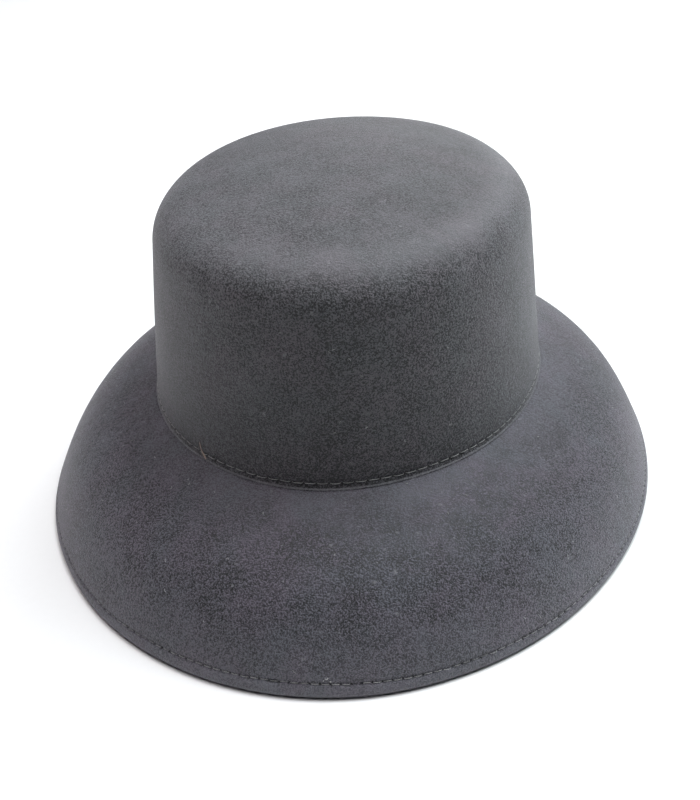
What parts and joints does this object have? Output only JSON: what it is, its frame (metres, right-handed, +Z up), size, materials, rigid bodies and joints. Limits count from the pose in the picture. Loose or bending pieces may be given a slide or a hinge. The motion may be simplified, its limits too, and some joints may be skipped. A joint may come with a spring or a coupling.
{
  "type": "felt hat",
  "caption": "Soft felt hat with a rounded, nearly flat-topped crown, a deep brim turned down all round, and a stitched wired hem.",
  "frame": {"origin": "centre of the brim's rim, on the surface that the hat stands on", "axes": "+Z up through the crown, +Y towards the front of the hat along its longer diameter, +X to the wearer's right"},
  "size_m": [0.2842, 0.331, 0.1488],
  "materials": {
    "felt": "matt charcoal wool felt with a short nap",
    "thread": "spun grey sewing thread",
    "grosgrain": "black ribbed grosgrain ribbon",
    "wire": "bright spring wire",
    "sleeve": "plain brass tube",
    "label": "off-white satin, blank"
  },
  "bodies": {
    "root": {"crown": "felt", "brim": "felt", "brim_wire": "wire", "wire_sleeve": "sleeve", "crown_seam_thread": "thread", "crown_seam_bobbin_thread": "thread", "hem_thread": "thread", "hem_bobbin_thread": "thread", "sweatband": "grosgrain", "sweatband_tab": "grosgrain", "size_tag": "label"}
  },
  "joints": []
}
